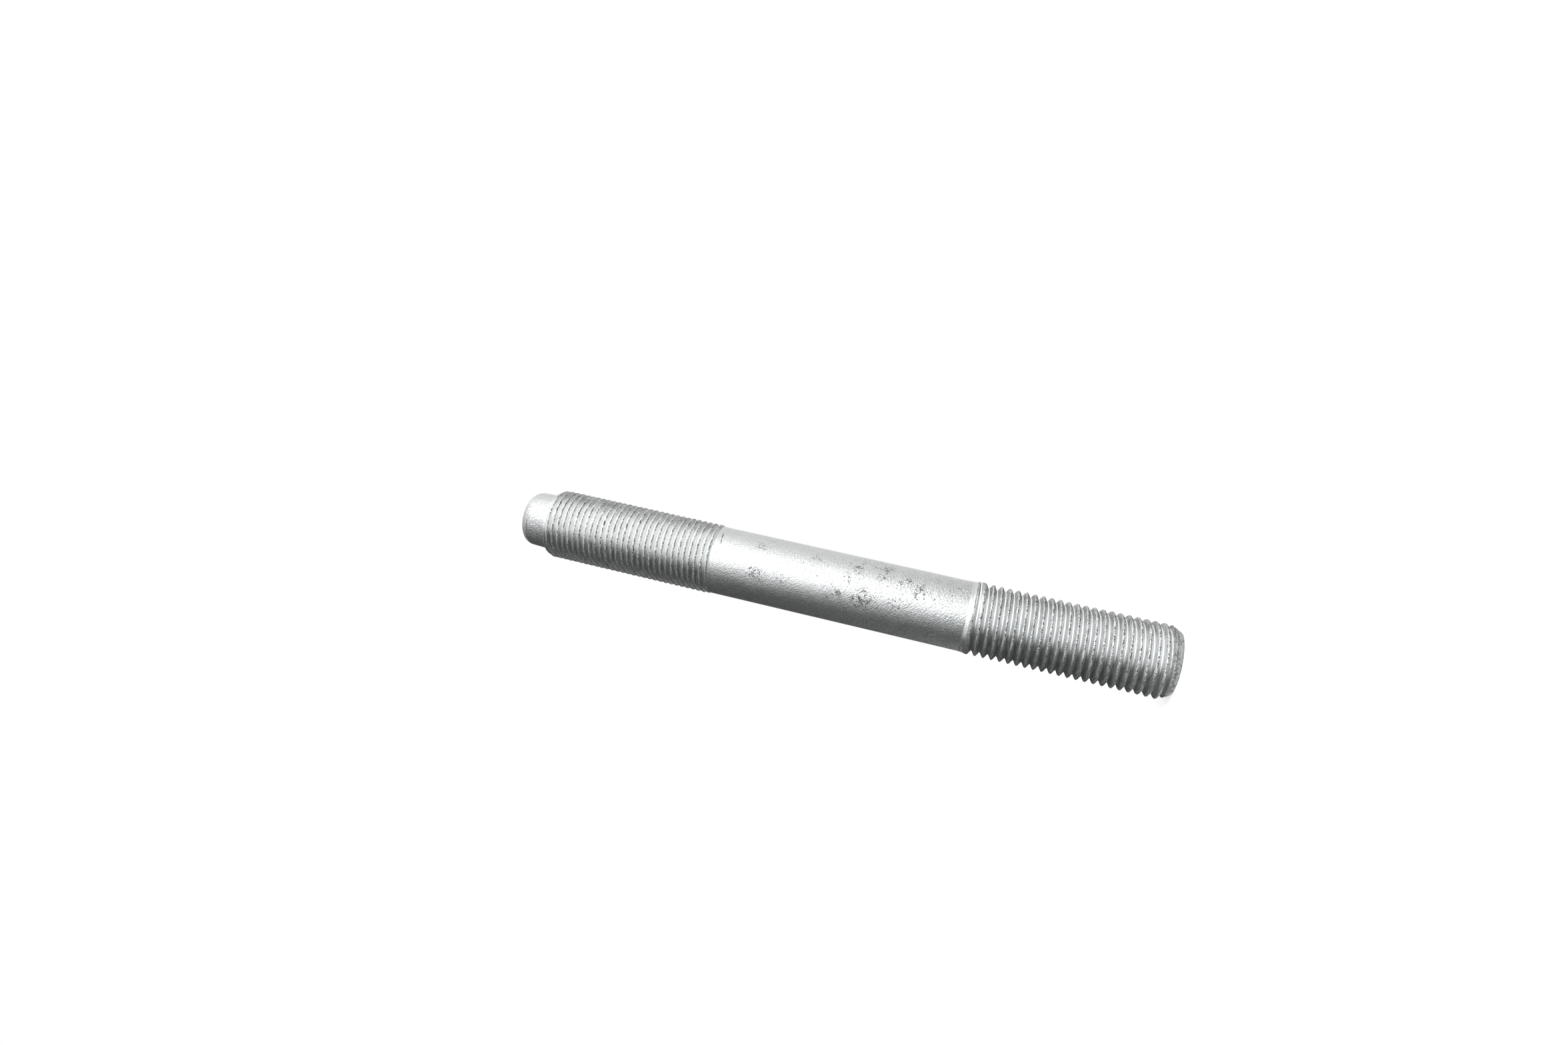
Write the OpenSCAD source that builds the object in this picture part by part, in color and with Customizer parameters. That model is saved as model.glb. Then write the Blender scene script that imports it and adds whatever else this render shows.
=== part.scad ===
// Screw-in wheel stud with two right-hand metric threads, a plain shank and a pilot nose.
// It stands on the flat end of its hub thread, with the pilot nose up. Millimetres.

/* [Stud] */
// Length over both ends
stud_length = 166; // [150:0.5:190]
// Diameter of the plain shank between the threads
shank_d = 17.3; // [16.9:0.1:17.8]

/* [Hub thread] */
// Outside diameter of the thread that screws into the hub
hub_thread_d = 18; // [17.9:0.1:20]
// Pitch of the hub thread
hub_pitch = 2; // [1.5:0.25:2.5]
// Length of the hub thread, with its end chamfer
hub_thread_length = 49; // [30:0.5:55]
// Diameter of the flat end face of the hub thread
hub_end_d = 14.9; // [13:0.1:15.3]

/* [Nut thread] */
// Outside diameter of the thread that takes the wheel nut
nut_thread_d = 18; // [17.9:0.1:20]
// Pitch of the nut thread
nut_pitch = 1.5; // [1.25:0.25:2]
// Length of the nut thread, with the cone and the shoulder that lead down to the nose
nut_thread_length = 45.7; // [30:0.1:55]
// Diameter where the cone ends at the steep shoulder above it
shoulder_d = 16.6; // [16:0.1:17.5]

/* [Pilot nose] */
// Diameter of the plain nose that guides the nut onto its thread
nose_d = 14.2; // [12:0.1:15.5]
// Length of the nose
nose_length = 7.4; // [4:0.1:10]
// Radius that rounds the edge of the nose
nose_edge_r = 2.8; // [0.5:0.1:3]

/* [Hidden] */

// Angle between the axis and the hub end's chamfer, a run-out or the cone at the nut thread's start
lead_angle = 30;
// Angle between the axis and the shoulder from that cone down to the nose
shoulder_angle = 70;
// Length of the plain collar between the hub thread and the shank
collar_length = 1;
// How far the collar stands out from the shank
collar_step = 0.04;
// Half the angle between the two flanks of a metric thread
flank_angle = 30;
// Depth of a metric thread for each millimetre of pitch
depth_share = 0.6134;
// Width of the flat at the root for each millimetre of pitch
root_share = 0.25;
// Straight steps in one turn of a thread groove
turn_steps = 24;
// Turns over which a groove fades out towards the shank
fade_turns = 0.75;
// Turns that the hub thread's groove starts below the end face
start_turns = 1.5;
// Distance from the end of the hub thread's groove to the shank, for each millimetre of pitch
hub_runout_share = 1;
// The same for the nut thread
nut_runout_share = 0.15;
// How far a groove cutter stands clear of the crests
cutter_clearance = 0.06;

hub_r = hub_thread_d / 2;
nut_r = nut_thread_d / 2;
shank_r = shank_d / 2;
nose_r = nose_d / 2;
collar_r = shank_r + collar_step;
shoulder_r = shoulder_d / 2;
shank_top = stud_length - nose_length - nut_thread_length;
nose_base = stud_length - nose_length;
hub_groove_top = hub_thread_length - hub_runout_share * hub_pitch;
nut_groove_base = shank_top + nut_runout_share * nut_pitch;
collar_base = hub_thread_length - collar_length;
shoulder_base = nose_base - cone_length(shoulder_r, nose_r, shoulder_angle);

// Length along the axis of a cone between two radii, at an angle to the axis
function cone_length(wide_r, narrow_r, angle) = (wide_r - narrow_r) / tan(angle);

// Half outline of the turned blank, before the threads are cut
module blank_outline() {
    intersection() {
        polygon([
            [0, 0],
            [hub_end_d / 2, 0],
            [hub_r, cone_length(hub_r, hub_end_d / 2, lead_angle)],
            [hub_r, collar_base - cone_length(hub_r, collar_r, lead_angle)],
            [collar_r, collar_base],
            [collar_r, hub_thread_length],
            [shank_r, hub_thread_length],
            [shank_r, shank_top],
            [nut_r, shank_top + cone_length(nut_r, shank_r, lead_angle)],
            [nut_r, shoulder_base - cone_length(nut_r, shoulder_r, lead_angle)],
            [shoulder_r, shoulder_base],
            [nose_r, nose_base],
            [nose_r, stud_length],
            [0, stud_length],
        ]);
        rounded_end_limit();
    }
}

// Everything below the nose edge, with a true arc where the edge is rounded
module rounded_end_limit() {
    arc_centre = [nose_r - nose_edge_r, stud_length - nose_edge_r];
    union() {
        square([hub_r + nut_r, arc_centre[1]]);
        square([arc_centre[0], stud_length]);
        translate(arc_centre) circle(r = nose_edge_r, $fn = 96);
    }
}

// Section of a groove cutter, moved out from the axis by lift: root first, then the open side
function groove_section(major_r, pitch, lift) =
    let (
        root_r = major_r - depth_share * pitch + lift,
        open_r = major_r + cutter_clearance,
        root_half = root_share * pitch / 2,
        open_half = root_half + (open_r - root_r) * tan(flank_angle)
    )
    [[root_r, -root_half], [open_r, -open_half], [open_r, open_half], [root_r, root_half]];

// Right-hand helical groove from low_z to high_z. fade_low and fade_high lift the cutter
// out of the metal over the last turns at that end.
module thread_groove(major_r, pitch, low_z, high_z, fade_low, fade_high) {
    steps = round((high_z - low_z) / pitch * turn_steps);
    fade_steps = fade_turns * turn_steps;
    full_lift = depth_share * pitch + cutter_clearance / 2;
    corner_stretch = 1 / cos(180 / turn_steps);
    points = [
        for (i = [0:steps])
            let (
                low_part = fade_low ? max(0, 1 - i / fade_steps) : 0,
                high_part = fade_high ? max(0, 1 - (steps - i) / fade_steps) : 0,
                lift = full_lift * max(low_part, high_part),
                angle = 360 * i / turn_steps,
                z = low_z + pitch * i / turn_steps
            )
            for (p = groove_section(major_r, pitch, lift))
                [p[0] * corner_stretch * cos(angle), p[0] * corner_stretch * sin(angle), z + p[1]]
    ];
    sides = [
        for (i = [0:steps - 1], j = [0:3])
            let (a = 4 * i + j, b = 4 * i + (j + 1) % 4)
            each [[a, b, b + 4], [a, b + 4, a + 4]]
    ];
    last = 4 * steps;
    ends = [[3, 2, 1, 0], [last, last + 1, last + 2, last + 3]];
    polyhedron(points = points, faces = concat(sides, ends), convexity = 20);
}

module stud() {
    color("silver") difference() {
        rotate_extrude($fn = 96) blank_outline();
        thread_groove(hub_r, hub_pitch, -start_turns * hub_pitch, hub_groove_top, false, true);
        thread_groove(nut_r, nut_pitch, nut_groove_base, nose_base + nut_pitch, true, false);
    }
}

stud();
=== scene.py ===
import math
import bpy
import numpy as np
from mathutils import Matrix, Vector


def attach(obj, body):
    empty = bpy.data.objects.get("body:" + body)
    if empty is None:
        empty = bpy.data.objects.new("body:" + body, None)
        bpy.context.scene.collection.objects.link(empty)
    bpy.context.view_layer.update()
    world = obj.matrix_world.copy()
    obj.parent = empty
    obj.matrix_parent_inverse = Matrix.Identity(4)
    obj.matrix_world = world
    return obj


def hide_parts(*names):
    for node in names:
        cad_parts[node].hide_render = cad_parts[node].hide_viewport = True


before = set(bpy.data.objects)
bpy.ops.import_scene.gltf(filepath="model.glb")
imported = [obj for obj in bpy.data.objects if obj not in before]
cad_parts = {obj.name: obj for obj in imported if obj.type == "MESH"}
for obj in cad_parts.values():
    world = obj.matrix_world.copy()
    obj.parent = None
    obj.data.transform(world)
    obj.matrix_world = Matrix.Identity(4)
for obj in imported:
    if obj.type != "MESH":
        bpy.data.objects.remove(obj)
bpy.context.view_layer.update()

print("frame loaded, nodes:", ", ".join(sorted(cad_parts)))


# the stud's surface is in millimetres until it is put into the mesh

studShape = {
    "length": 166.0,
    "shankRadius": 8.65,
    "threadRadius": 9.0,
    "hubEndRadius": 7.45,
    "endChamfer": 2.68,      # height of the chamfer at the hub end
    "hubRunOut": [(46.6, 9.0), (47.55, 8.93), (48.0, 8.74), (48.95, 8.70), (49.0, 8.65)],
    "nutRunOut": [(113.1, 8.65), (113.35, 8.85), (113.8, 9.0)],
    "nosePoints": [(156.9, 9.0), (158.2, 8.32), (158.65, 7.25), (163.2, 7.05)],
    "noseEdge": 2.7,         # radius that rounds the nose's edge
    "softening": 0.1,        # how far every turned corner is eased
    "columnsPerTurn": 64,
    "rows": 18,              # rows across one turn of the spiral sheet
    "shankTurnHeight": 4.4,  # rough rise of one turn of the sheet on the shank
    "plainPath": (51.0, 110.5),      # where the sheet climbs by more than a pitch
    "footPath": -3.0,        # path at which the sheet leaves the hub end face, and its climb in a turn there
    "footClimb": -2.4,
    "nosePath": 162.0,       # the same on the nose
    "noseClimb": 1.7,
    "rowBias": 1.15,         # crowds the rows towards the crest
    "arcPoints": 24,
    "pathStep": 0.02,
    "easeSteps": 25,
}
# crestAtZero is a crest's height at +X: the angle is counted towards +Y, and a crest rises by a pitch in each turn
hubThread = {"pitch": 2.0, "crestAtZero": 46.0, "low": -4.0, "high": 47.2, "fadeTurns": 0.6,
             "depthShare": 0.6134, "rootRound": 0.14}
nutThread = {"pitch": 1.5, "crestAtZero": 113.9, "low": 112.9, "high": 163.0, "fadeTurns": 0.6,
             "depthShare": 0.50, "rootRound": 0.30}      # the coat fills its roots
threadForm = {
    "radius": 9.0,
    "crestShare": 0.20,      # width of the crest for each millimetre of pitch
    "flankAngle": 30.0,
    "crestRound": 0.30,
    "seamDepth": 0.05,       # fold that rolling leaves along the crest
    "seamWidth": 0.075,
}


# outline: height z and radius r along a path s that runs from the pole of one end to the pole of the other.
# Between the ends s is z itself; on the nose and on the flat ends s is the length of the path.
def turnedOutline(shape):
    top = shape["length"]
    noseZ = [p[0] for p in shape["nosePoints"]]
    noseR = [p[1] for p in shape["nosePoints"]]
    edge = shape["noseEdge"]
    arc = np.linspace(0.0, 0.5 * math.pi, shape["arcPoints"])
    arcZ = top - edge + edge * np.sin(arc)
    arcR = noseR[-1] - 0.02 - edge + edge * np.cos(arc)
    turned = [(0.0, 0.0), (0.0, shape["hubEndRadius"]), (shape["endChamfer"], shape["threadRadius"])]
    turned += shape["hubRunOut"] + shape["nutRunOut"] + shape["nosePoints"]
    z = np.concatenate([[p[0] for p in turned], arcZ, [top]])
    r = np.concatenate([[p[1] for p in turned], arcR, [0.0]])
    step = np.hypot(np.diff(z), np.diff(r))
    byHeight = np.diff(z) > 0.7 * step        # walls and cones are counted by height
    byHeight &= z[1:] <= noseZ[-1]
    s = np.concatenate([[0.0], np.cumsum(np.where(byHeight, np.diff(z), step))])
    s -= s[1]                                  # s is 0 at the foot of the chamfer
    stepSize, reach = shape["pathStep"], shape["easeSteps"]
    fine = np.arange(s[0], s[-1], stepSize)
    zFine = np.interp(fine, s, z)
    rFine = np.interp(fine, s, r)
    ease = np.exp(-0.5 * (np.arange(-reach, reach + 1) * stepSize / shape["softening"]) ** 2)
    ease /= ease.sum()

    # a running mean, with each end carried on by its own half turn
    def eased(values):
        ends = [2 * values[0] - values[reach:0:-1], values, 2 * values[-1] - values[-2:-reach - 2:-1]]
        return np.convolve(np.concatenate(ends), ease, mode="valid")

    zFine = np.clip(eased(zFine), 0.0, top)
    rFine = eased(rFine)
    rFine[0] = rFine[-1] = 0.0
    return fine, zFine, np.maximum(rFine, 0.0)


# smooth minimum: the smaller of a and b, with the corner between them rounded over k
def softMin(a, b, k):
    h = np.maximum(k - np.abs(a - b), 0.0)
    return np.minimum(a, b) - h * h / (4.0 * k)


# thread: r = root where |d| is near half a pitch, rising along straight flanks to the crest at d = 0, where d is the
# distance along z from the helix z = crestAtZero + pitch * angle / turn. At the run-outs the form is lifted out.
def threadRadius(angle, z, thread, form):
    pitch = thread["pitch"]
    turns = (z - thread["crestAtZero"]) / pitch - angle / (2.0 * math.pi)
    fromCrest = turns - np.round(turns)
    d = np.abs(fromCrest) * pitch
    depth = thread["depthShare"] * pitch
    slope = 1.0 / math.tan(math.radians(form["flankAngle"]))
    flank = form["radius"] - slope * (d - 0.5 * form["crestShare"] * pitch)
    root = form["radius"] - depth
    body = -softMin(-flank, np.full_like(flank, -root), thread["rootRound"] * pitch)
    groove = thread["crestAtZero"] + pitch * (np.floor(turns) + 0.5 + angle / (2.0 * math.pi))
    fade = np.clip(np.minimum(thread["high"] - groove, groove - thread["low"]) / (thread["fadeTurns"] * pitch), 0, 1)
    lift = (1.0 - fade) * (depth + 0.2)
    r = softMin(body + lift, np.full_like(body, form["radius"]), form["crestRound"] * pitch)
    seam = form["seamDepth"] * np.exp(-(d / form["seamWidth"]) ** 2) * fade
    wander = 0.6 + 0.4 * np.sin(7.0 * angle + 3.1 * z) * np.sin(3.0 * angle - 1.7 * z)
    return r - seam * wander


# spiral sheet: column n stands at angle 2 pi n / N and row m at s(n, m) = c(n) + v(m) * (c(n + N) - c(n)),
# where c climbs one pitch in each turn on a thread, so rows follow the helix and the last row of a turn
# is the first row of the next.
def climbOfSheet(shape, s):
    perTurn = shape["shankTurnHeight"]
    hub, nut = hubThread["pitch"], nutThread["pitch"]
    hubStart = hubThread["crestAtZero"] - 0.5 * hub     # on a thread the middle row runs along the crest
    nutStart = nutThread["crestAtZero"] - 0.5 * nut
    hubEnd, nutEnd = shape["plainPath"]
    foot, nose = shape["footPath"], shape["nosePath"]
    lowS, highS = s[0], s[-1]
    turnsHub = (hubEnd - hubStart) / hub
    freeTurns = (nutEnd - hubEnd) / perTurn
    turnsNut = (nutEnd - nutStart) / nut
    slip = turnsNut - turnsHub - freeTurns
    freeTurns += slip - round(slip)                     # the shank takes up the difference in phase
    shift = round(turnsNut - turnsHub - freeTurns)
    footTurn = (foot - hubStart) / hub
    lowTurn = footTurn - (lowS - foot) / shape["footClimb"]
    t0, t1 = turnsHub, turnsHub + freeTurns
    t = np.linspace(0.0, 1.0, 200)
    span = t1 - t0
    h00, h10 = 2 * t**3 - 3 * t**2 + 1, t**3 - 2 * t**2 + t
    h01, h11 = -2 * t**3 + 3 * t**2, t**3 - t**2
    middle = h00 * hubEnd + h10 * span * hub + h01 * nutEnd + h11 * span * nut
    noseTurn = (nose - nutStart) / nut - shift
    highTurn = noseTurn + (highS - nose) / shape["noseClimb"]
    # two turns more at either end run past the poles, where the sheet is clipped
    turns = np.concatenate([[lowTurn - 2.0, lowTurn, footTurn], t0 + t * span, [noseTurn, highTurn, highTurn + 2.0]])
    climb = np.concatenate([[lowS - 5.0, lowS, foot], middle, [nose, highS, highS + 3.5]])
    return turns, climb


# profile and thread together: x = r cos(angle), y = r sin(angle), z from the outline, r the smaller of both radii
def studSurface(shape, form):
    s, zOut, rOut = turnedOutline(shape)
    turns, climb = climbOfSheet(shape, s)
    n = shape["columnsPerTurn"]
    first = int(math.floor(turns[1] * n)) - n
    last = int(math.ceil(turns[-2] * n))
    column = np.arange(first, last + 1)
    t = np.linspace(-1.0, 1.0, shape["rows"] + 1)
    v = 0.5 + 0.5 * np.sign(t) * np.abs(t) ** shape["rowBias"]
    c0 = np.interp(column / n, turns, climb)
    c1 = np.interp(column / n + 1.0, turns, climb)
    path = c0[:, None] + v[None, :] * (c1 - c0)[:, None]
    path = np.clip(path, s[0], s[-1])
    angle = np.broadcast_to((2.0 * math.pi * (column % n) / n)[:, None], path.shape)
    z = np.interp(path, s, zOut)
    r = np.interp(path, s, rOut)
    hubR = threadRadius(angle, z, hubThread, form)
    nutR = threadRadius(angle, z, nutThread, form)
    r = np.minimum(r, np.where(z < 80.0, hubR, nutR))
    return np.stack([r * np.cos(angle), r * np.sin(angle), z], axis=-1)


# joins the sheet's doubled rows and its poles: equal points get one index, flat faces go, and quads that lost a
# corner become triangles
def weldedMesh(name, points, scale):
    columns, rows = points.shape[:2]
    flat = points.reshape(-1, 3)
    key = np.round(flat / 1e-4).astype(np.int64)
    _, keep, index = np.unique(key, axis=0, return_index=True, return_inverse=True)
    grid = index.reshape(columns, rows)
    quads = np.stack([grid[:-1, :-1], grid[1:, :-1], grid[1:, 1:], grid[:-1, 1:]], axis=-1).reshape(-1, 4)
    a, b, c, d = quads.T
    whole = (a != b) & (b != c) & (c != d) & (d != a) & (a != c) & (b != d)
    corners = []
    for p, q, w in ((a, b, c), (a, c, d)):
        good = ~whole & (p != q) & (q != w) & (w != p)
        corners.append(np.stack([p[good], q[good], w[good]], axis=-1))
    tris = np.concatenate(corners)
    full = quads[whole]
    mesh = bpy.data.meshes.new(name)
    mesh.vertices.add(len(keep))
    mesh.vertices.foreach_set("co", (flat[keep] * scale).ravel())
    loops = np.concatenate([full.ravel(), tris.ravel()]).astype(np.int32)
    sizes = np.concatenate([np.full(len(full), 4), np.full(len(tris), 3)]).astype(np.int32)
    starts = np.concatenate([[0], np.cumsum(sizes)[:-1]]).astype(np.int32)
    mesh.loops.add(len(loops))
    mesh.loops.foreach_set("vertex_index", loops)
    mesh.polygons.add(len(sizes))
    mesh.polygons.foreach_set("loop_start", starts)
    mesh.polygons.foreach_set("use_smooth", np.ones(len(sizes), dtype=bool))
    mesh.update(calc_edges=True)
    return mesh


sheet = studSurface(studShape, threadForm)
studMesh = weldedMesh("studSurface", sheet, 0.001)
studPiece = bpy.data.objects.new("studSurface", studMesh)
bpy.context.scene.collection.objects.link(studPiece)
edgeUse = np.zeros(len(studMesh.edges), dtype=np.int64)
loopEdges = np.zeros(len(studMesh.loops), dtype=np.int32)
studMesh.loops.foreach_get("edge_index", loopEdges)
np.add.at(edgeUse, loopEdges, 1)
print("stud surface:", len(studMesh.polygons), "faces,", int((edgeUse != 2).sum()), "open or shared edges")


# a wrapped socket takes + - * / ** and smooth steps
class Value:
    def __init__(self, finish, socket):
        self.finish = finish
        self.socket = socket

    def maths(self, operation, *others):
        inputs = {0: self}
        inputs.update({i + 1: other for i, other in enumerate(others)})
        return self.finish.node("ShaderNodeMath", {"operation": operation}, inputs)

    def __add__(self, other): return self.maths("ADD", other)
    def __radd__(self, other): return self.maths("ADD", other)
    def __mul__(self, other): return self.maths("MULTIPLY", other)
    def __rmul__(self, other): return self.maths("MULTIPLY", other)
    def __sub__(self, other): return self.maths("SUBTRACT", other)
    def __rsub__(self, other):
        return self.finish.node("ShaderNodeMath", {"operation": "SUBTRACT"}, {0: other, 1: self})

    def __truediv__(self, other): return self.maths("DIVIDE", other)
    def __abs__(self): return self.maths("ABSOLUTE")
    def __pow__(self, other): return self.maths("POWER", other)

    def atLeast(self, other): return self.maths("MAXIMUM", other)
    def atMost(self, other): return self.maths("MINIMUM", other)

    # smooth step: 0 at low, 1 at high
    def step(self, low, high):
        settings = {"interpolation_type": "SMOOTHSTEP"}
        if low < high:
            return self.finish.node("ShaderNodeMapRange", settings, {0: self, 1: low, 2: high, 3: 0.0, 4: 1.0})
        return self.finish.node("ShaderNodeMapRange", settings, {0: self, 1: high, 2: low, 3: 1.0, 4: 0.0})


# the node tree of a material or of the world
class Finish:
    def __init__(self, owner):
        self.owner = owner
        owner.use_nodes = True
        self.tree = owner.node_tree
        self.tree.nodes.clear()

    # any node: its settings first, then its sockets by number or name, each a value or a link
    def node(self, kind, settings=None, inputs=None, output=0):
        made = self.tree.nodes.new(kind)
        for key, value in (settings or {}).items():
            setattr(made, key, value)
        for key, value in (inputs or {}).items():
            if isinstance(value, Value):
                self.tree.links.new(value.socket, made.inputs[key])
            else:
                made.inputs[key].default_value = value
        return Value(self, made.outputs[output])

    def output(self, shader, kind="ShaderNodeOutputMaterial"):
        made = self.tree.nodes.new(kind)
        self.tree.links.new(shader.socket, made.inputs["Surface"])
        return self.owner

    # the first sockets of a node that splits a vector or reports a ray
    def parts(self, made, keys):
        return [Value(self, made.socket.node.outputs[key]) for key in keys]

    def scaled(self, vector, factors):
        return self.node("ShaderNodeVectorMath", {"operation": "MULTIPLY"}, {0: vector, 1: factors})

    def noise(self, vector, scale, detail=2.0, roughness=0.5, distortion=0.0):
        return self.node("ShaderNodeTexNoise", {"noise_dimensions": "3D"},
                         {"Vector": vector, "Scale": scale, "Detail": detail, "Roughness": roughness,
                          "Distortion": distortion})

    def blend(self, factor, first, second):
        return self.node("ShaderNodeMix", {"data_type": "RGBA"}, {0: factor, 6: first, 7: second}, 2)


# zinc coat: satin grain, pits, short scratches, the rough fold along each crest, and painted shade and highlights.
# sideShadeColour is painted shade: it darkens the threads by side. It was set to match tones, so it holds light and
# not dirt, and it stays there under any lamp. The masks below that take steps of x were set in the same way; those
# that feed the colour paint shade and highlights by side.
zincCoat = {
    "colour": (0.580, 0.595, 0.597, 1.0),
    "paleColour": (0.658, 0.672, 0.675, 1.0),
    # the next two are lighter copies of the coat for the thread flanks, set by matching tones: painted light that
    # lifts the shade in the grooves
    "hubColour": (0.700, 0.715, 0.718, 1.0),      # on the flanks of the threads
    "nutColour": (0.800, 0.815, 0.810, 1.0),
    "sideShadeColour": (0.324, 0.334, 0.328, 1.0),
    # the next three: the colour of painted highlights, of bright marks and painted glints, and of dark marks and
    # painted shade
    "paintedHighlightColour": (0.930, 0.940, 0.950, 1.0),
    "brightMarkAndGlintColour": (0.960, 0.965, 0.960, 1.0),
    "darkMarkAndShadeColour": (0.030, 0.031, 0.032, 1.0),
    "roughness": 0.37,
    "threadRoughness": 0.58,
    "grainHeight": 0.045,     # heights in millimetres
    "streakHeight": 0.125,
    "fineHeight": 0.008,
    "pitHeight": 0.022,
    "seamHeight": 0.06,
    "beadHeight": 0.07,
    "drawnHeight": 0.08,
}
# places, in millimetres, where the coat is worn more: centre and reach
wornPlaces = [((6.2, -6.0, 75.5), 6.0), ((6.4, -5.8, 70.4), 5.0), ((4.4, -7.4, 64.8), 3.5),
              ((5.7, -6.5, 101.0), 2.2), ((5.7, -6.5, 86.5), 2.5), ((-2.2, -8.3, 93.5), 4.5),
              ((-2.4, -8.2, 80.8), 5.0), ((-2.0, -8.3, 74.0), 5.0), ((-1.2, -8.5, 100.5), 4.0),
              ((-1.6, -8.4, 65.5), 4.0), ((2.6, -8.2, 78.0), 2.8), ((3.2, -8.0, 60.8), 3.0),
              ((5.5, 6.5, 96.0), 7.0), ((-7.5, 4.0, 66.0), 7.0), ((-1.0, 8.5, 84.0), 6.0),
              ((6.5, -5.6, 153.0), 6.0), ((-6.0, 6.4, 104.0), 5.0)]
# short strokes, in millimetres: two ends, half width
darkStrokes = [((6.6, -5.6, 111.6), (5.6, -6.6, 111.5), 0.10), ((5.2, -6.9, 111.4), (4.2, -7.6, 111.2), 0.09),
               ((3.9, -8.0, 155.7), (3.2, -8.3, 155.6), 0.15), ((3.9, -8.0, 154.3), (3.3, -8.3, 154.2), 0.12),
               ((3.8, -8.0, 149.7), (3.3, -8.3, 149.4), 0.15), ((-0.9, -8.8, 139.3), (-1.6, -8.7, 139.0), 0.14),
               ((-1.6, -8.7, 132.9), (-2.7, -8.4, 132.6), 0.12), ((0.8, -8.8, 121.4), (0.1, -8.9, 121.2), 0.11),
               ((6.1, -6.1, 52.3), (6.0, -6.2, 51.2), 0.07)]
brightStrokes = [((-6.2, -6.0, 56.4), (-5.9, -6.3, 55.1), 0.11),
                 ((5.95, -6.25, 51.0), (5.85, -6.35, 49.8), 0.09)]


# the coat's colour, roughness, metal and height are blends by masks of x, y, z and noise. Each mask is 1 on its mark
# and falls to 0 by a smooth step, and marks along a thread are measured by the distance from its crest.
def zincMaterial(coat):
    f = Finish(bpy.data.materials.new("zincSteel"))
    place = f.node("ShaderNodeTexCoord", None, None, "Object")
    mm = f.scaled(place, (1000.0, 1000.0, 1000.0))
    split = f.node("ShaderNodeSeparateXYZ", None, {0: mm})
    x, y, z = f.parts(split, range(3))
    turn = f.node("ShaderNodeMath", {"operation": "ARCTAN2"}, {0: y, 1: x}) / (2.0 * math.pi)

    # signed distance along z from the crest of a thread, in millimetres
    def fromCrest(thread):
        phase = (z - thread["crestAtZero"]) / thread["pitch"] - turn
        return (phase - phase.maths("ROUND")) * thread["pitch"]

    # 1 within a reach of a point, falling smoothly to 0
    def near(centre, reach):
        away = f.node("ShaderNodeVectorMath", {"operation": "DISTANCE"}, {0: mm, 1: centre}, "Value")
        return away.step(reach, reach * 0.25)

    # 1 on a stroke between two points: the distance from the nearest point of the line between them
    def stroke(start, end, halfWidth):
        vectorMaths = "ShaderNodeVectorMath"
        along = [b - a for a, b in zip(start, end)]
        length2 = sum(c * c for c in along)
        fromStart = f.node(vectorMaths, {"operation": "SUBTRACT"}, {0: mm, 1: start})
        share = f.node(vectorMaths, {"operation": "DOT_PRODUCT"}, {0: fromStart, 1: along}, "Value") / length2
        share = share.atLeast(0.0).atMost(1.0)
        foot = f.node(vectorMaths, {"operation": "SCALE"}, {0: along, "Scale": share})
        away = f.node(vectorMaths, {"operation": "DISTANCE"}, {0: fromStart, 1: foot}, "Value")
        return (away + ragged).step(halfWidth * 1.5, halfWidth * 0.6)

    def largest(masks):
        result = masks[0]
        for mask in masks[1:]:
            result = result.atLeast(mask)
        return result

    ragged = (f.noise(mm, 3.4, 2.0, 0.6) - 0.5) * 0.35
    wobble = (f.noise(mm, 1.3, 2.0) - 0.5) * 0.22
    hubZone = z.step(47.9, 47.4) * z.step(0.4, 1.4)
    nutZone = z.step(112.8, 113.2) * z.step(159.2, 158.6)
    hubFrom, nutFrom = fromCrest(hubThread), fromCrest(nutThread)
    threads = hubZone.atLeast(nutZone)
    plain = 1.0 - threads

    def line(offset, hubWidth, nutWidth):
        hub = abs(hubFrom + wobble + offset).step(hubWidth, hubWidth * 0.3) * hubZone
        nut = abs(nutFrom + wobble + offset).step(nutWidth, nutWidth * 0.3) * nutZone
        return hub.atLeast(nut)

    segment = f.noise(mm, 0.55, 2.0, 0.6)
    worn = largest([near(centre, reach) for centre, reach in wornPlaces]) * (segment.step(0.40, 0.56) * 0.8 + 0.2)
    grain = f.noise(mm, 2.1, 3.0, 0.6, 0.5)
    fine = f.noise(mm, 8.0, 2.0, 0.6)
    broad = f.noise(mm, 0.09, 2.0, 0.5)
    patchy = f.noise(mm, 0.4, 2.0, 0.6)
    drawn = f.noise(f.scaled(mm, (0.35, 0.35, 3.8)), 1.0, 2.0, 0.65)      # fine lines round the threads

    # short leaning streaks: a noise drawn out along one direction
    lean = f.node("ShaderNodeMapping", None, {0: mm, 2: (0.0, 0.85, 0.0)})
    streaks = f.noise(f.scaled(lean, (4.8, 3.8, 1.15)), 1.0, 2.0, 0.6)
    cross = f.node("ShaderNodeMapping", None, {0: mm, 2: (0.0, -0.5, 0.0)})
    crossed = f.noise(f.scaled(cross, (3.4, 2.4, 0.7)), 0.8, 2.0, 0.6)

    # pits: high spots of a noise, more of them where the coat is worn; flecks are drawn out, scratches more so
    wear = (broad - 0.5) * 0.16 + worn * 0.09
    pits = (f.noise(mm, 1.5, 3.0, 0.7, 0.6) + wear).step(0.68, 0.70) * plain
    flecks = (f.noise(f.scaled(lean, (4.2, 3.6, 1.2)), 1.0, 1.5, 0.55) + wear * 1.7).step(0.71, 0.728) * plain
    specks = (f.noise(mm, 3.3, 2.0, 0.6, 0.5) + worn * 0.03).step(0.675, 0.715) * (plain * 0.6 + 0.4)
    scratch = (crossed + wear).step(0.69, 0.72) * plain
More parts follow.
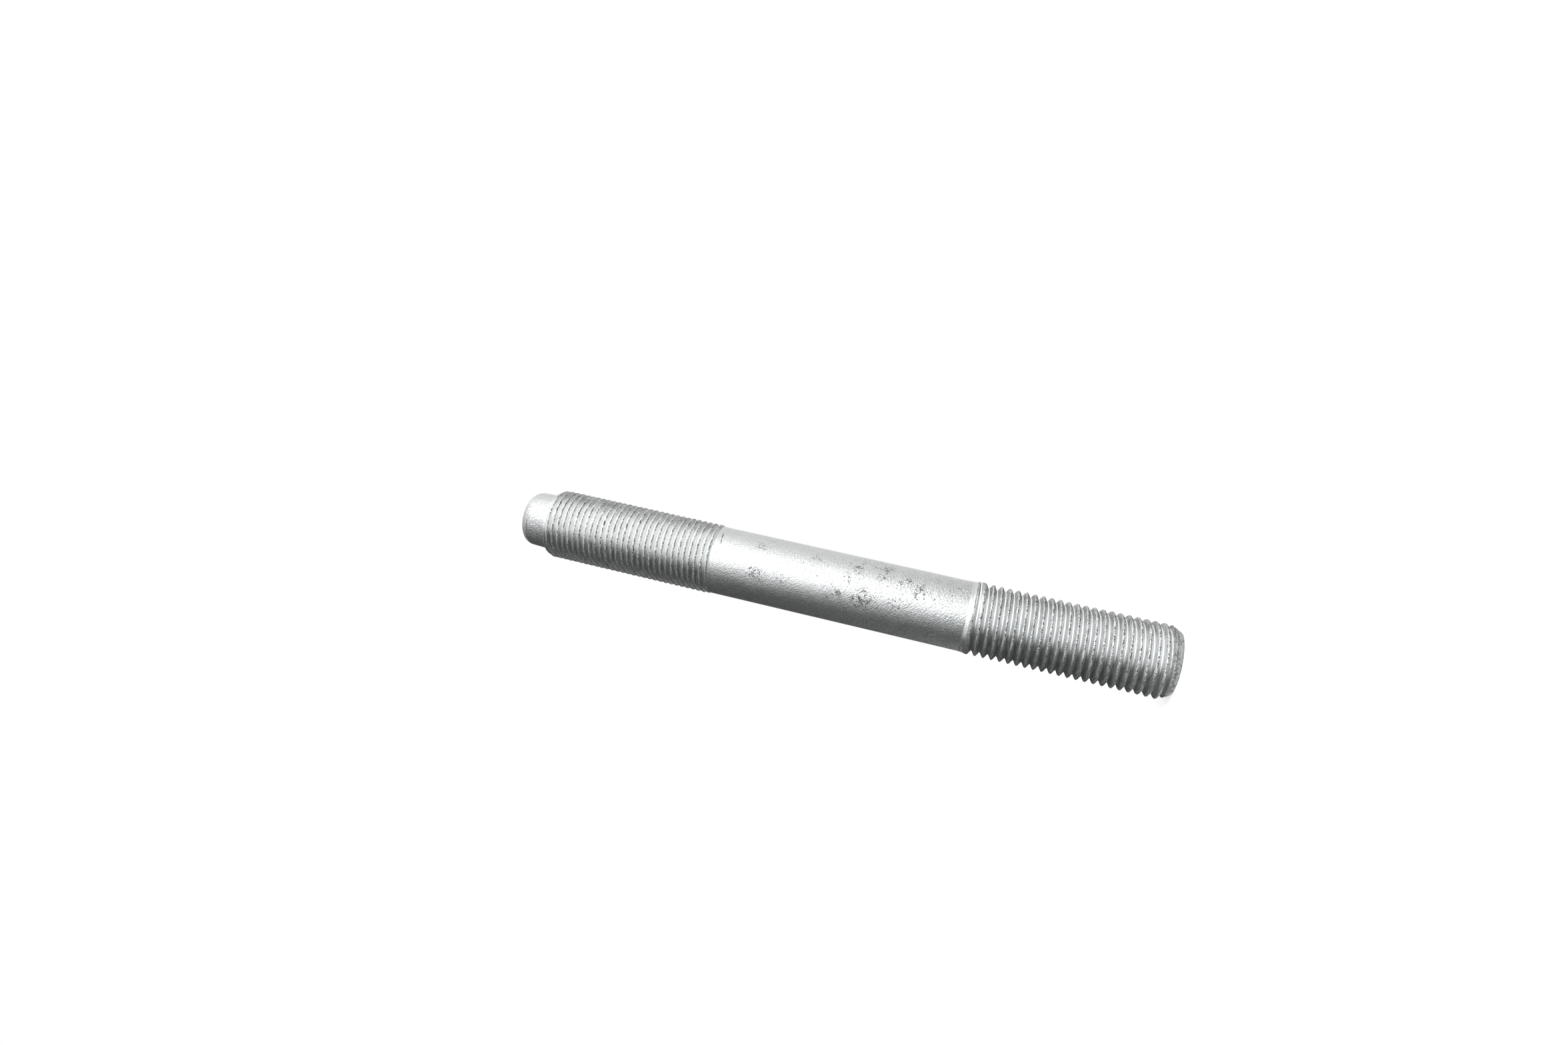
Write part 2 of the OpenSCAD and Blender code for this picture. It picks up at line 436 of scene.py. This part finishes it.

    # the fold on each crest: a bright ragged line on its nose side, part worn fold and part painted highlight, and
    # dark broken dashes on the other side. The bright dots in the chain and the glints between the dashes are painted
    # glints
    dashes = f.noise(mm, 1.5, 3.0, 0.7)
    heavy = (broad - 0.5) * 0.10 + worn * 0.06
    beadNoise = f.noise(mm, 3.1, 2.0, 0.65)
    # the bright marks fade towards the +X edge and the -X side, so their painted highlight follows the light
    highlightFade = 1.0 - (x.step(5.5, 8.0) * 0.6).atLeast(x.step(-1.8, -6.5) * 0.85)
    beads = line(-0.10, 0.36, 0.10) * (beadNoise + (segment - 0.5) * 0.5).step(0.44, 0.54) * highlightFade
    dots = f.noise(mm, 4.0, 1.0, 0.5)
    chain = line(0.06, 0.26, 0.19)
    glintDots = chain * dots.step(0.51, 0.46) * highlightFade
    darkDots = chain * (dots + heavy + (0.5 - segment) * 0.2).step(0.535, 0.57)
    # painted highlight and painted shade on the nut thread, except on its -X side: a thin bright line on each flank
    # and a dark line in each root
    litNut = nutZone * x.step(-3.0, 0.5)
    shine = abs(nutFrom + wobble * 0.5 - 0.46).step(0.12, 0.04) * litNut * segment.step(0.36, 0.46)
    rootShade = abs(abs(nutFrom) - 0.5 * nutThread["pitch"]).step(0.10, 0.03) * litNut
    gap = line(0.14, 0.17, 0.13)
    darkDash = gap * (dashes * 0.4 + beadNoise * 0.6 + heavy + (0.5 - segment) * 0.25).step(0.485, 0.525)
    outerDash = line(-0.40, 0.14, 0.05) * (beadNoise - heavy).step(0.42, 0.34)
    nick = (f.noise(mm, 0.9, 2.0, 0.55, 0.5) + heavy).step(0.645, 0.68) * line(0.05, 0.42, 0.32)
    glint = gap * (1.0 - darkDash) * beadNoise.step(0.50, 0.56)
    # painted highlight: a pale, smoother band along the hub thread's roots, on all but the -X side
    rootHighlight = abs(abs(hubFrom) - 0.5 * hubThread["pitch"]).step(0.19, 0.08) * hubZone * x.step(-3.5, -0.5)

    # a dark dotted ring at the nose's rim, heavier and denser towards -X: that extra is painted shade
    rimRingAndShade = abs(z - 163.75 + wobble * 0.4).step(0.22, 0.08) * (dashes + x.step(0.0, -4.0) * 0.14).step(0.40, 0.47)
    rimRingAndShade = rimRingAndShade * (x.step(1.5, -2.5) * 0.75 + 0.25)
    rimBand = z.step(163.3, 164.0)
    # a dark dotted ring where the shank meets the collar, twice as heavy towards -X: that extra is painted shade
    edgeRingAndShade = abs(z - 49.0 + wobble * 0.4).step(0.18, 0.05) * (dashes.step(0.44, 0.56) * 0.6 + 0.35)
    edgeRingAndShade = edgeRingAndShade * (x.step(-0.5, -2.5) * 0.5 + 0.5)
    # painted highlight: the collar paler and less metallic, fading towards -X and weaker at the +X edge
    collar = z.step(47.85, 48.05) * z.step(49.0, 48.85) * x.step(-6.2, -3.6) * (1.0 - x.step(2.5, 5.5) * 0.8)
    # painted shade: a dark dotted ring where the collar meets the hub thread, fading out towards +X
    grooveShade = abs(z - 47.75 + wobble * 0.4).step(0.16, 0.04) * dashes.step(0.46, 0.55) * x.step(4.0, -2.0)
    nutRing = abs(z - 113.0 + wobble * 0.4).step(0.15, 0.04) * (dashes.step(0.46, 0.56) * 0.8 + 0.1)
    # the hub end's chamfer darker and rougher: half an even painted shade, half dark speckles
    endShadeAndDirt = z.step(2.9, 2.1) * (0.5 + 0.5 * f.noise(mm, 1.4, 3.0, 0.7).step(0.50, 0.62))
    darkMarks = largest([stroke(*mark) for mark in darkStrokes])
    brightMarks = largest([stroke(*mark) for mark in brightStrokes])

    relief = (grain - 0.5) * coat["grainHeight"] + (streaks - 0.5) * coat["streakHeight"]
    noseZone = z.step(158.4, 159.0)
    height = relief * (plain * 0.8 + 0.2) * (1.0 + noseZone * 0.5) * (1.0 - endShadeAndDirt * 0.5)
    height = height + (fine - 0.5) * coat["fineHeight"]
    height = height - largest([pits, nick, darkMarks, flecks * 0.6]) * coat["pitHeight"] - specks * 0.008
    height = height - largest([darkDash, outerDash, darkDots]) * coat["seamHeight"]
    height = height - edgeRingAndShade * 0.02 + brightMarks * 0.03
    height = height + largest([beads * (0.5 + beadNoise), glint * 0.8, glintDots * 1.2]) * coat["beadHeight"]
    height = height + (drawn - 0.5) * threads * coat["drawnHeight"]

    colour = f.blend((patchy - 0.5) * 1.2 + 0.4, coat["colour"], coat["paleColour"])
    # painted shade: the thread flanks darken towards the -X side and at the +X edge; drawn lines and grain add real
    # streaks, and a fine mottle is added on the nut thread's -X side
    shade = (x.step(4.2, 8.0) * 0.75).atLeast(x.step(-0.3, -4.2) * 0.85)
    shade = shade + (drawn - 0.5) * (hubZone + 1.8) + (grain - 0.5) * 0.9
    shade = shade + (fine - 0.5) * 1.6 * nutZone * x.step(-1.5, -5.0)    
    flank = f.blend(shade, f.blend(nutZone, coat["hubColour"], coat["nutColour"]), coat["sideShadeColour"])
    # painted shade: the nose a little darker on its -X side
    colour = f.blend(noseZone * x.step(-1.8, -4.6) * 0.05, colour, coat["sideShadeColour"])
    colour = f.blend(threads, colour, flank)
    colour = f.blend(largest([rootHighlight, shine, collar * 0.7]), colour, coat["paintedHighlightColour"])
    colour = f.blend(largest([beads * 0.9, brightMarks, glint, glintDots]), colour, coat["brightMarkAndGlintColour"])
    # dark marks, and painted shade in the roots, at the rings and on the end chamfer
    dark = largest([pits * 0.85, flecks * 0.8, darkDash * 0.88, darkDots * 0.92, outerDash * 0.7, nick * 0.9,
                    scratch * 0.60, specks * 0.55, rootShade * 0.4, rimRingAndShade * 0.8, edgeRingAndShade * 0.8, grooveShade * 0.6,
                    nutRing * 0.6, endShadeAndDirt * 0.75, darkMarks * 0.95])
    colour = f.blend(dark, colour, coat["darkMarkAndShadeColour"])

    base = coat["roughness"] + threads * (coat["threadRoughness"] - coat["roughness"])
    rough = base + (patchy - 0.5) * 0.14 + (fine - 0.5) * 0.10 + dark * 0.25 - beads * 0.12 - rootHighlight * 0.20
    rough = rough + rimBand * 0.12 + endShadeAndDirt * 0.15
    metal = 1.0 - largest([dark * 0.6, rootHighlight * 0.6, shine * 0.7, beads * 0.3, glintDots * 0.3,
                           nutZone * x.step(-4.5, -1.0) * 0.2, collar * 0.35])

    bump = f.node("ShaderNodeBump", None, {"Strength": 1.0, "Distance": 0.001, "Height": height}, "Normal")
    surface = f.node("ShaderNodeBsdfPrincipled", None,
                     {"Base Color": colour, "Roughness": rough, "Metallic": metal, "Normal": bump})
    return f.output(surface)


studMesh.materials.append(zincMaterial(zincCoat))
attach(studPiece, "root")
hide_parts("stud")
print("zinc coat made")


# floor, lights and the dark cards
studio = {
    "floorSize": 8.0,
    "floorColour": (0.86, 0.86, 0.86, 1.0),
    "floorGlow": 0.42,
    "ambient": 0.75,
    "white": (1.0, 1.0, 1.0, 1.0),
    "screenColour": (0.092, 0.096, 0.094, 1.0),
    "matColour": (0.24, 0.24, 0.24, 1.0),
    "matLow": (-0.6, -0.6),
    "matHigh": (0.4, 0.6),
    "matHeight": 0.0008,
    "screenRadius": 0.6,
    "screenEdge": [(0.0, 33.0), (0.05, 33.0), (0.45, 45.0), (1.6, 50.0)],     # height and starting angle
    "fillPower": 0.6,
    "fillTint": (1.0, 0.95, 0.88),
    "fillSize": (0.5, 1.1),
    "fillPlace": (0.55, -0.25, 0.20),
    "keyPower": 5.1,
    "keyTint": (0.99, 1.0, 1.0),
    "keySize": (0.45, 1.1),
    "keyPlace": (0.26, -0.56, 0.20),
    "aim": (0.0, 0.0, 0.083),
}


# 1 for a ray from the camera, off a glossy surface or through glass: the largest of the three
def lightPathMask(f):
    names = ("Is Camera Ray", "Is Glossy Ray", "Is Transmission Ray")
    camera, glossy, through = f.parts(f.node("ShaderNodeLightPath"), names)
    return camera.atLeast(glossy).atLeast(through)


# matt paint plus a glow that only those rays see
def floorMaterial(settings):
    f = Finish(bpy.data.materials.new("paleFloor"))
    paint = f.node("ShaderNodeBsdfDiffuse", None, {"Color": settings["floorColour"]})
    strength = lightPathMask(f) * settings["floorGlow"]
    glow = f.node("ShaderNodeEmission", None, {"Color": settings["white"], "Strength": strength})
    return f.output(f.node("ShaderNodeAddShader", None, {0: paint, 1: glow}))


# one even dark glow
def screenMaterial(settings):
    f = Finish(bpy.data.materials.new("darkScreen"))
    return f.output(f.node("ShaderNodeEmission", None, {"Color": settings["screenColour"], "Strength": 1.0}))


# the mat glows dark on the stud's -X side, mid grey on its +X side, and white close to the stud and behind it
def matMaterial(settings):
    f = Finish(bpy.data.materials.new("greyMat"))
    place = f.node("ShaderNodeTexCoord", None, None, "Object")
    x, y = f.parts(f.node("ShaderNodeSeparateXYZ", None, {0: place}), range(2))
    away = (x * x + y * y) ** 0.5
    front = f.blend(x.step(-0.012, 0.008), settings["screenColour"], settings["matColour"])
    glow = f.blend(y.step(0.05, 0.22).atLeast(away.step(0.035, 0.015)), front, settings["white"])
    return f.output(f.node("ShaderNodeEmission", None, {"Color": glow, "Strength": 1.0}))


# plain light for the object, and white wherever the three rays look
def studioWorld(settings):
    f = Finish(bpy.data.worlds.new("studioWorld"))
    plain = f.node("ShaderNodeBackground", None, {"Color": settings["white"], "Strength": settings["ambient"]})
    white = f.node("ShaderNodeBackground", None, {"Color": settings["white"], "Strength": 1.0})
    mixed = f.node("ShaderNodeMixShader", None, {0: lightPathMask(f), 1: plain, 2: white})
    return f.output(mixed, "ShaderNodeOutputWorld")


def stagePiece(name, points, faces, material):
    mesh = bpy.data.meshes.new(name)
    mesh.from_pydata(points, [], faces)
    mesh.materials.append(material)
    piece = bpy.data.objects.new(name, mesh)
    bpy.context.scene.collection.objects.link(piece)
    return piece


# a level rectangle at height z, from the low corner to the high one
def levelCard(name, low, high, z, material):
    corners = [(low[0], low[1], z), (high[0], low[1], z), (high[0], high[1], z), (low[0], high[1], z)]
    return stagePiece(name, corners, [(0, 1, 2, 3)], material)


# a tall screen round the stud's -X side: at height z it runs from angle edge(z) to half a turn, counted from -Y
# towards -X, as x = -r sin(angle), y = -r cos(angle)
def roundScreen(name, settings, material):
    z = np.array([p[0] for p in settings["screenEdge"]])
    edge = np.radians([p[1] for p in settings["screenEdge"]])
    angle = edge[:, None] + np.linspace(0.0, 1.0, 41)[None, :] * (math.pi - edge)[:, None]
    r = settings["screenRadius"]
    points = np.stack([-r * np.sin(angle), -r * np.cos(angle), np.broadcast_to(z[:, None], angle.shape)], axis=-1)
    index = np.arange(angle.size).reshape(angle.shape)
    quads = np.stack([index[:-1, :-1], index[:-1, 1:], index[1:, 1:], index[1:, :-1]], axis=-1).reshape(-1, 4)
    return stagePiece(name, points.reshape(-1, 3).tolist(), quads.tolist(), material)


half = studio["floorSize"] / 2.0
levelCard("floor", (-half, -half), (half, half), 0.0, floorMaterial(studio))

# a dark screen and a mat that only glossy rays see, so the metal shows them in place of the pale surroundings
screen = roundScreen("darkScreen", studio, screenMaterial(studio))
mat = levelCard("darkMat", studio["matLow"], studio["matHigh"], studio["matHeight"], matMaterial(studio))
for card in (screen, mat):
    for way in ("camera", "diffuse", "transmission", "volume_scatter", "shadow"):
        setattr(card, "visible_" + way, False)

bpy.context.scene.world = studioWorld(studio)


# a soft box that faces the middle of the stud
def softBox(name, place, size, power, tint):
    lamp = bpy.data.lights.new(name, "AREA")
    lamp.shape = "RECTANGLE"
    lamp.size, lamp.size_y = size
    lamp.energy = power
    lamp.color = tint
    piece = bpy.data.objects.new(name, lamp)
    bpy.context.scene.collection.objects.link(piece)
    place = Vector(place)
    turn = (Vector(studio["aim"]) - place).to_track_quat("-Z", "Y")
    piece.matrix_world = Matrix.Translation(place) @ turn.to_matrix().to_4x4()


softBox("keyLight", studio["keyPlace"], studio["keySize"], studio["keyPower"], studio["keyTint"])
softBox("fillLight", studio["fillPlace"], studio["fillSize"], studio["fillPower"], studio["fillTint"])

cameraView = {
    "place": (0.0, -0.2329, 0.0508),
    "right": (0.22289, 0.18272, -0.95757),
    "up": (0.97332, -0.09657, 0.20813),
    "focalShare": 1400.0 / 2352.0,      # focal length over the width of the picture
    "sensor": 36.0,
}
camera = bpy.data.cameras.new("studCamera")
camera.sensor_fit = "HORIZONTAL"
camera.sensor_width = cameraView["sensor"]
camera.lens = cameraView["focalShare"] * cameraView["sensor"]
camera.clip_start = 0.005
cameraPiece = bpy.data.objects.new("studCamera", camera)
bpy.context.scene.collection.objects.link(cameraPiece)
right = Vector(cameraView["right"]).normalized()
up = (Vector(cameraView["up"]) - right * right.dot(Vector(cameraView["up"]))).normalized()
back = right.cross(up)
turn = Matrix((right, up, back)).transposed().to_4x4()
cameraPiece.matrix_world = Matrix.Translation(cameraView["place"]) @ turn
bpy.context.scene.camera = cameraPiece

bpy.context.scene.view_settings.view_transform = "Standard"
print("studio ready")
